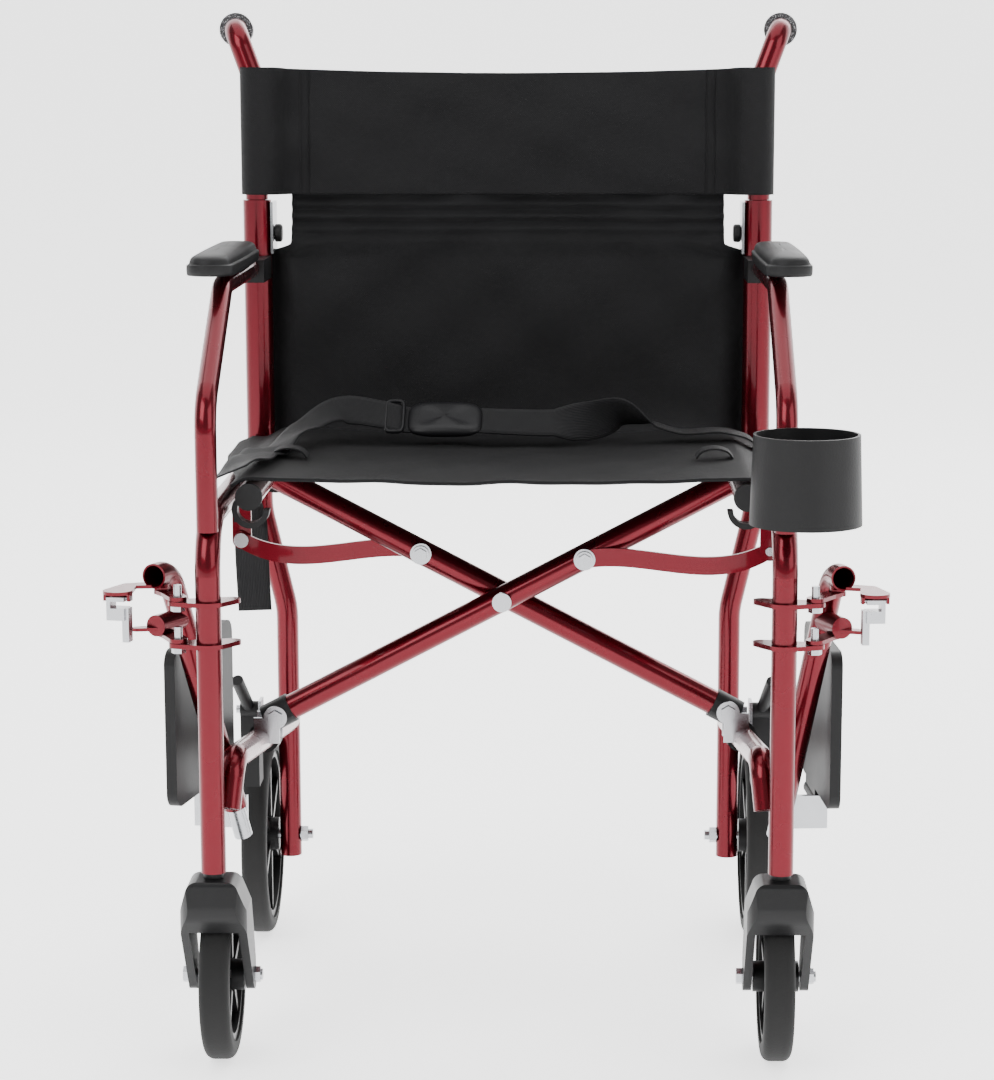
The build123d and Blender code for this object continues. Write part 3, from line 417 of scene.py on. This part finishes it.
class ChairStage(bpy.types.PropertyGroup):
    floor: FloatVectorProperty(
        name="Floor colour", description="Colour of the floor and backdrop", subtype="COLOR",
        default=(0.96, 0.96, 0.96), min=0, max=1,
    )
    lens: FloatProperty(
        name="Lens", description="Focal length on a 36 mm sensor", default=98.09, min=20, max=300,
    )
    light: FloatProperty(
        name="Light", description="Strength of the soft lights", default=1.0, min=0, max=4,
    )


class CHAIR_OT_finishes(bpy.types.Operator):
    """Paint, plate and mould every hard part of the chair"""

    bl_idname = "chair.finishes"
    bl_label = "Hard parts"

    def execute(self, context):
        look = context.scene.chair_finish
        tubes = ("front_post", "cane", "arm_tube", "lower_rail", "frame_tabs", "upper_cane", "hanger", "link")
        dress(coated_metal("tube_paint", look.tube), *both(*tubes), "brace_from_left", "brace_from_right")
        plated = ("frame_hardware", "link_bolt", "caster_axle", "latch", "footrest_extension")
        dress(plated_metal("zinc_plate", look.metal), *both(*plated), "brace_pivot_bolt")
        dress(moulded("black_moulding", look.plastic, 0.42, 500.0, 0.0003),
              *both("arm_clamp", "seat_saddles", "release_knob", "wheel_lock", "footplate"),
              "brace_caps_left", "brace_caps_right", "cup_holder")
        dress(moulded("wheel_moulding", look.plastic, 0.30, 700.0, 0.0002),
              *both("caster_hub", "rear_hub", "caster_fork"))
        dress(moulded("tyre_rubber", (0.009, 0.009, 0.009), 0.66, 420.0, 0.0005),
              *both("caster_tyre", "rear_tyre"))
        dress(glint_speckled("grip_rubber", (0.020, 0.020, 0.022)), *both("grip"))
        return {"FINISHED"}


class CHAIR_OT_seat(bpy.types.Operator):
    """Stretch the seat over its two rails"""

    bl_idname = "chair.seat"
    bl_label = "Seat"

    def execute(self, context):
        cloth = context.scene.chair_cloth
        u = np.linspace(-1, 1, 141)[:, None]
        v = np.linspace(0, 1, 91)[None, :]
        y = SEAT_LOW[1] + v * (SEAT_HIGH[1] - SEAT_LOW[1])
        # Half width: a smooth step from the front corner to the flap, which narrows again at the canes.
        half = SEAT_HALF + cloth.flap * (ease((v - 0.06) / 0.62) - 0.3 * ease((v - 0.88) / 0.12))
        x = u * half
        # Height: level over the rails, hanging as a parabola between them, stepping down to the flaps.
        over = np.clip(np.abs(x) - RAIL_X, 0, None)
        span = np.clip(1 - (x / RAIL_X) ** 2, 0, None)
        pull = ripple(u, v, ((0.0005, 1.5, 2.1, 0.4), (0.0004, -2.3, 3.3, 1.9), (0.00025, 4.1, 1.2, 0.7)))
        wave = 0.0016 * np.sin(9.0 * v + 2.0 * np.sign(u)) * ease((over - 0.014) / 0.03)
        edge = 0.0100 * ease(over / 0.026) - wave
        z = SEAT_LOW[2] + 0.0035 - cloth.seat_sag * span * (0.55 + 0.45 * v) - edge + pull * (0.3 + span)
        points = np.stack(np.broadcast_arrays(x, y, z), axis=-1)
        seat = thicken(surface("seat_cover", points), 0.0028)
        finish(seat, woven("seat_nylon", cloth_colour(context), 0.0018, 0.03))
        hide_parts("seat_sling")
        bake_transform(seat)
        return {"FINISHED"}


def cloth_colour(context):
    return tuple(context.scene.chair_finish.cloth)


class CHAIR_OT_back(bpy.types.Operator):
    """Hang the back: a band with sleeves on the upper canes, and an apron below it"""

    bl_idname = "chair.back"
    bl_label = "Back"

    def execute(self, context):
        self.band(context)
        self.apron(context)
        return {"FINISHED"}

    def band(self, context):
        """A flat loop round both canes: straight runs in front and behind, half circles at the canes."""
        cloth = context.scene.chair_cloth
        radius = 0.0142
        run = np.linspace(-CANE_X + 0.004, CANE_X - 0.004, 90)
        turn = np.linspace(0, math.pi, 19)[1:-1]
        front = np.stack([run, np.full(90, -1.0)], axis=1)
        rear = np.stack([run[::-1], np.full(90, 1.0)], axis=1)
        right = np.stack([CANE_X + radius * np.sin(turn), -np.cos(turn)], axis=1)
        left = np.stack([-CANE_X - radius * np.sin(turn), np.cos(turn)], axis=1)
        loop = np.concatenate([front, right, rear, left])
        x = loop[:, 0][:, None]
        flat = ease((CANE_X - 0.016 - np.abs(x)) / 0.018)
        gap = radius + flat * (0.0022 - radius)
        v = np.linspace(0, 1, 61)[None, :]
        bow = cloth.back_sag * (1 - (x / CANE_X) ** 2) * (0.55 + 0.45 * v)
        waves = ((1.0, 1.3, 0.9, 0.3), (0.8, -2.2, 1.4, 1.2), (0.5, 3.7, 2.3, 2.2), (0.3, 6.1, -1.6, 0.5))
        crease = ripple(x / CANE_X / 2, v, waves) * cloth.crease * flat * 0.6
        y = CANE_Y + loop[:, 1][:, None] * gap + bow * flat + crease
        droop = 0.0055 * (1 - (x / CANE_X) ** 2) * flat
        low, high = BAND_LOW[2], BAND_HIGH[2]
        z = low + v * (high - low - droop)
        points = np.stack(np.broadcast_arrays(x, y, z), axis=-1)
        band = thicken(surface("back_band", points, closed_u=True), 0.0018)
        finish(band, woven("back_nylon", cloth_colour(context), 0.0018, 0.03))
        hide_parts("back_upper_panel")
        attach(band, "left_back")
        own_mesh(band)
        for side, s in SIDES.items():
            self.seam(context, f"{side}_sleeve_seam", s, points)

    def seam(self, context, name, s, points):
        """A raised stitched tape down the band's face where its sleeve ends."""
        near = int(np.argmin(np.abs(points[:90, 0, 0] - s * (CANE_X - 0.046))))
        line = points[near]
        v = np.linspace(-1, 1, 7)[None, :, None]
        lift = 0.0014 * (1 - v**2)
        strip = line[:, None, :] + v * np.array([0.0045, 0, 0]) - (0.0011 + lift) * np.array([0, 1.0, 0])
        cloth = woven(name + "_tape", cloth_colour(context), 0.0012, 0.03)
        tape = finish(thicken(surface(name, strip), 0.0008), cloth)
        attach(tape, "left_back")
        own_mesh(tape)

    def apron(self, context):
        """The lower back: a sheet whose half width is a smooth step from the neck to the wings,
        which pass behind the canes; folds at the top fade downwards."""
        cloth = context.scene.chair_cloth
        neck, wing = 0.216, CANE_X + 0.006
        v = np.linspace(0, 1, 141)[None, :]
        u = np.linspace(-1, 1, 121)[:, None]
        low, high = APRON_LOW[2], APRON_HIGH[2] + 0.002
        z_line = high - v * (high - low)
        half = neck + (wing - neck) * ease((high - 0.048 - z_line) / 0.016)
        x = u * half
        z = z_line + 0 * u
        behind = ease((np.abs(x) - (CANE_X - 0.040)) / 0.028)
        bow = cloth.back_sag * (1 - (x / CANE_X) ** 2) * (1 - 0.7 * v)
        drop = high - z
        folds = np.sin(2 * math.pi * drop / 0.0125) * np.exp(-(((drop - 0.022) / 0.020) ** 2)) * 0.0026
        waves = ((1.0, 0.7, 1.1, 0.2), (0.9, -1.1, 1.6, 2.0), (0.6, 2.2, 2.7, 0.9), (0.4, -3.1, 2.2, 1.4))
        pulls = ripple(u, v, waves)
        fan = np.sin(26 * (np.abs(u) * 0.9 + v * 1.3)) * dent(np.abs(u), v, 0.86, 0.22, 0.25, 0.22) * 0.0022
        y = CANE_Y + behind * 0.0160 + (1 - behind) * (bow + folds + pulls * cloth.crease + fan)
        points = np.stack(np.broadcast_arrays(x, y, z), axis=-1)
        apron = thicken(surface("back_apron", points), 0.0018)
        finish(apron, woven("apron_nylon", cloth_colour(context), 0.0018, 0.04))
        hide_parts("back_lower_panel")
        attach(apron, "left_frame")
        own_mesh(apron)


class CHAIR_OT_belt(bpy.types.Operator):
    """Lay the lap belt across the seat, with its buckle and its loose end"""

    bl_idname = "chair.belt"
    bl_label = "Lap belt"

    def execute(self, context):
        width = context.scene.chair_cloth.strap
        y = float(BELT_LOW[1] + BELT_HIGH[1]) / 2
        top = float(SEAT_LOW[2]) + 0.0075
        webbing = ribbed("belt_webbing", (0.009, 0.009, 0.010), 0.0016)
        edge = CANE_X - 0.013
        rail_top = float(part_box("left_front_post")[1][2]) + 0.0030
        left = [(-0.240, POST_Y + 0.078, top - 0.001), (-0.233, POST_Y + 0.110, top + 0.002),
                (-0.223, POST_Y + 0.175, top + 0.003), (-0.210, POST_Y + 0.245, top + 0.004),
                (-0.190, POST_Y + 0.300, top + 0.014), (-0.160, y, top + 0.026),
                (-0.120, y, top + 0.022), (-0.094, y, top + 0.0165), (-0.080, y, top + 0.0165)]
        pieces = [ribbon("belt_left", left, [(0, 0), (0.5, 0), (0.8, 38), (1, 30)], width, 0.0016)]
        right = [(-0.036, y, top + 0.0165), (0.000, y, top + 0.0150), (0.045, y, top + 0.0140),
                 (0.088, y, top + 0.017), (0.112, y, top + 0.024), (0.136, y, top + 0.016), (0.168, y, top + 0.006),
                 (0.215, y, top + 0.006), (edge + 0.004, y, top - 0.004), (CANE_X - 0.003, y, rail_top)]
        half_twist = [(0, 30), (0.28, 34), (0.62, 180), (1, 180)]
        pieces.append(ribbon("belt_right", right, half_twist, width, 0.0016))
        for piece in pieces:
            finish(piece, webbing)
        pieces.append(self.buckle(context, y, top))
        pieces.append(self.slider(context, y, top + 0.020))
        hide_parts("lap_belt")
        for piece in pieces:
            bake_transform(piece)
        length_of(left)
        length_of(right)
        self.anchors(context, webbing, y, width)
        self.keepers(webbing, top - 0.0020)
        return {"FINISHED"}

    def keepers(self, webbing, level):
        """Two low arches of webbing sewn to the seat near its front corners."""
        for side, s in SIDES.items():
            body = "right_brace" if s < 0 else "left_brace"
            depth = POST_Y + 0.20
            rises = (
                (0.180, 0.0), (0.184, 0.005), (0.191, 0.008), (0.203, 0.008), (0.210, 0.005), (0.214, 0.0),
            )
            route = [(s * x, depth, level + rise) for x, rise in rises]
            keeper = ribbon(f"{side}_keeper", route, [(0, 0), (1, 0)], 0.024, 0.0016, 30)
            finish(keeper, webbing)
            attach(keeper, body)
            length_of(route)

    def buckle(self, context, y, top):
        """A rounded block: a superellipse in plan, its height falling as a power of the distance out."""
        u = np.linspace(0, 2 * math.pi, 72, endpoint=False)[:, None]
        v = np.linspace(0, 1, 15)[None, :]
        half = np.array([0.036, 0.0245])
        ring = np.abs(np.cos(u)) ** 0.45 * np.sign(np.cos(u)), np.abs(np.sin(u)) ** 0.45 * np.sign(np.sin(u))
        reach = np.sin(np.pi * v) ** 0.30
        rise = -np.cos(np.pi * v)
        x = -0.058 + half[0] * ring[0] * reach
        across = half[1] * ring[1] * reach
        thick = 0.0065 * rise * (1 - 0.25 * ring[0] ** 2)
        lean = math.radians(30)
        depth = y + across * math.cos(lean) - thick * math.sin(lean)
        z = top + 0.0170 + across * math.sin(lean) + thick * math.cos(lean)
        body = surface("belt_buckle", np.stack(np.broadcast_arrays(x, depth, z), axis=-1), closed_u=True)
        skin = moulded("buckle_moulding", (0.008, 0.008, 0.009), 0.35, 600.0, 0.0002)
        return finish(body, skin)

    def slider(self, context, y, top):
        """The length adjuster: a small flat frame, as a rounded box round the strap."""
        u = np.linspace(0, 2 * math.pi, 48, endpoint=False)[:, None]
        v = np.linspace(0, 2 * math.pi, 12, endpoint=False)[None, :]
        out_x = np.sign(np.cos(u)) * np.abs(np.cos(u)) ** 0.5 * 0.0085
        out_y = np.sign(np.sin(u)) * np.abs(np.sin(u)) ** 0.3 * 0.0225
        x = -0.107 + out_x + 0.0018 * np.cos(v) * np.cos(u)
        lean = math.radians(34)
        across = out_y + 0.0018 * np.cos(v) * np.sin(u)
        thick = 0.0022 * np.sin(v)
        depth = y + across * math.cos(lean) - thick * math.sin(lean)
        z = top + across * math.sin(lean) + thick * math.cos(lean)
        body = surface("belt_slider", np.stack(np.broadcast_arrays(x, depth, z), axis=-1), True, True)
        skin = moulded("slider_moulding", (0.008, 0.008, 0.009), 0.35, 600.0, 0.0002)
        return finish(body, skin)

    def anchors(self, context, webbing, y, width):
        """Loops of webbing round the side rails, and the loose end under the left one."""
        rail_z = float(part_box("left_front_post")[1][2]) - 0.0111
        for side, s in SIDES.items():
            u = np.linspace(0, 2 * math.pi, 48, endpoint=False)[:, None]
            v = np.linspace(-1, 1, 7)[None, :]
            x = s * (CANE_X + 0.0128 * np.cos(u)) + 0 * v
            z = rail_z + 0.0128 * np.sin(u) + 0 * v
            depth = y + v * width / 2 + 0 * u
            points = np.stack([x, depth, z], axis=-1)[:: s]
            loop = thicken(surface(f"{side}_belt_loop", points, closed_u=True), 0.0014)
            finish(loop, webbing)
            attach(loop, f"{side}_frame")
        route = [(-CANE_X, y, rail_z - 0.0140), (-CANE_X + 0.001, y + 0.001, rail_z - 0.050),
                 (-CANE_X + 0.002, y + 0.003, rail_z - 0.095), (-CANE_X + 0.004, y + 0.002, rail_z - 0.140)]
        tail = ribbon("belt_tail", route, [(0, 0), (0.35, 80), (1, 94)], width * 0.86, 0.0016)
        finish(tail, webbing)
        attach(tail, "left_frame")
        length_of(route)


def length_of(route):
    line = resample(route, 90)
    return float(np.linalg.norm(np.diff(line, axis=0), axis=1).sum())


class CHAIR_OT_arm_pads(bpy.types.Operator):
    """Mould both arm pads, with a brim and a crowned top"""

    bl_idname = "chair.arm_pads"
    bl_label = "Arm pads"

    def execute(self, context):
        crown = context.scene.chair_pad.crown
        skin = moulded("pad_skin", (0.0055, 0.0055, 0.0060), 0.46, 340.0, 0.0004)
        for side in SIDES:
            low, high = (np.array(end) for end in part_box(f"{side}_arm_pad"))
            middle, half = (low + high) / 2, (high - low) / 2
            # A closed profile of (inset, height) carried round a rounded outline: base, brim, waist, dome.
            inset = np.array([0.5, 0.08, 0.0, 0.0, 0.004, 0.10, 0.12, 0.13, 0.22, 0.40, 0.62, 0.85, 1.0])
            height = np.array([0, 0, 0.03, 0.44, 0.50, 0.53, 0.545, 0.68, 0.86, 0.94, 0.98, 1.0, 1.0])
            height = np.where(height > 0.55, 0.55 + (height - 0.55) * (0.6 + 0.4 * crown / 0.75), height)
            u = np.linspace(0, 2 * math.pi, 120, endpoint=False)[:, None]
            # Outline: a stadium, a circle of the half width moved along Y by what is left of the length.
            straight = half[1] - half[0]
            scale = (1 - inset)[None, :]
            x = middle[0] + half[0] * scale * np.cos(u)
            ends = np.clip(np.sin(u) * 3.0, -1, 1)
            reach = 0.25 + 0.75 * (1 - (1 - scale) ** 3)
            y = middle[1] + half[0] * scale * np.sin(u) + straight * ends * reach
            z = low[2] + (high[2] - low[2]) * np.minimum(height, 1.0)[None, :] + 0 * u
            points = np.stack(np.broadcast_arrays(x, y, z), axis=-1)
            pad = surface(f"{side}_pad", points, closed_u=True)
            close_rims(pad, points)
            smooth(pad, 1)
            finish(pad, skin)
            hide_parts(f"{side}_arm_pad")
            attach(pad, f"{side}_frame")
        return {"FINISHED"}


def close_rims(obj, points):
    """Close the first and last rings of a closed-loop surface with one face each."""
    rows, columns = points.shape[:2]
    rings = np.arange(rows * columns).reshape(rows, columns)
    polygons = [list(p.vertices) for p in obj.data.polygons]
    uv = np.zeros(len(obj.data.loops) * 2, np.float32)
    obj.data.uv_layers[0].data.foreach_get("uv", uv)
    mesh = bpy.data.meshes.new(obj.data.name)
    polygons += [rings[:, 0].tolist(), rings[::-1, -1].tolist()]
    mesh.from_pydata(points.reshape(-1, 3).tolist(), [], polygons)
    layer = mesh.uv_layers.new(name="weave")
    layer.data.foreach_set("uv", np.concatenate([uv, np.zeros(4 * rows, np.float32)]))
    mesh.shade_smooth()
    obj.data = mesh


class CHAIR_OT_stage(bpy.types.Operator):
    """Set the floor, the soft lights and the camera"""

    bl_idname = "chair.stage"
    bl_label = "Stage"

    def execute(self, context):
        look = context.scene.chair_stage
        scene = context.scene
        # Floor and backdrop: a plane that sweeps up behind as a quarter circle.
        t = np.linspace(0, 1, 61)[None, :]
        x = np.linspace(-40, 40, 5)[:, None]
        angle = np.clip((t - 0.5) / 0.3, 0, 1) * math.pi / 2
        y = -40 + np.minimum(t, 0.5) * 88 + 3 * np.sin(angle)
        z = 3 * (1 - np.cos(angle)) + np.clip(t - 0.8, 0, None) * 40
        sweep = surface("studio_floor", np.stack(np.broadcast_arrays(x, y, z), axis=-1))
        paint = Paint("studio_paper", Roughness=0.9, Emission_Color=(1, 1, 1, 1), Emission_Strength=1.6)
        shade = paint.blend(paint.noise(2.0), rgba(look.floor, 0.99), rgba(look.floor, 1.01))
        paint.feed("Base Color", shade)
        sweep.data.materials.append(paint.material)
        lamps = (
            ("key_light", (-2.4, -3.2, 3.4), 3.0, 150.0), ("fill_light", (3.2, -2.4, 2.2), 3.0, 80.0),
            ("top_light", (0.0, 0.4, 3.8), 4.0, 110.0), ("rear_light", (1.5, 3.4, 2.8), 2.5, 60.0),
        )
        for name, place, size, power in lamps:
            lamp = bpy.data.lights.new(name, "AREA")
            lamp.size = size
            lamp.energy = power * look.light
            lit = bpy.data.objects.new(name, lamp)
            lit.location = place
            lit.rotation_euler = (Vector((0, 0, 0.5)) - Vector(place)).to_track_quat("-Z", "Y").to_euler()
            scene.collection.objects.link(lit)
        world = bpy.data.worlds.new("studio_air")
        world.use_nodes = True
        world.node_tree.nodes["Background"].inputs["Color"].default_value = (1, 1, 1, 1)
        world.node_tree.nodes["Background"].inputs["Strength"].default_value = 0.45 * look.light
        scene.world = world
        camera = bpy.data.cameras.new("camera")
        camera.lens = look.lens
        camera.sensor_width = 36
        camera.shift_x = -0.0378
        camera.shift_y = 0.0608
        eye = bpy.data.objects.new("camera", camera)
        pitch, yaw = 0.182, -0.013
        forward = Vector((math.sin(yaw) * math.cos(pitch), math.cos(yaw) * math.cos(pitch), -math.sin(pitch)))
        place = Vector((0.06875, POST_Y - 2.5086, 0.8871))
        eye.matrix_world = Matrix.Translation(place) @ forward.to_track_quat("-Z", "Y").to_matrix().to_4x4()
        scene.collection.objects.link(eye)
        scene.camera = eye
        return {"FINISHED"}


class CHAIR_PT_panel(bpy.types.Panel):
    bl_idname = "CHAIR_PT_panel"
    bl_label = "Wheelchair"
    bl_space_type = "VIEW_3D"
    bl_region_type = "UI"
    bl_category = "Wheelchair"

    def draw(self, context):
        for name in GROUPS:
            group = getattr(context.scene, name)
            box = self.layout.box()
            for key in group.bl_rna.properties.keys():
                if key not in ("rna_type", "name"):
                    box.prop(group, key)
        for operator in OPERATORS:
            self.layout.operator(operator.bl_idname)


OPERATORS = (
    CHAIR_OT_stage, CHAIR_OT_finishes, CHAIR_OT_seat, CHAIR_OT_back, CHAIR_OT_belt, CHAIR_OT_arm_pads,
)
GROUPS = {
    "chair_finish": ChairFinish, "chair_cloth": ChairCloth, "chair_pad": ChairPad, "chair_stage": ChairStage,
}


def register():
    for cls in (*GROUPS.values(), *OPERATORS, CHAIR_PT_panel):
        bpy.utils.register_class(cls)
    for key, cls in GROUPS.items():
        setattr(bpy.types.Scene, key, PointerProperty(type=cls))


def unregister():
    for key in GROUPS:
        delattr(bpy.types.Scene, key)
    for cls in (CHAIR_PT_panel, *OPERATORS[::-1], *list(GROUPS.values())[::-1]):
        bpy.utils.unregister_class(cls)


def main():
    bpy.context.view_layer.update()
    register()
    for operator in OPERATORS:
        getattr(bpy.ops.chair, operator.bl_idname.split(".")[1])()


if __name__ == "__main__":
    main()
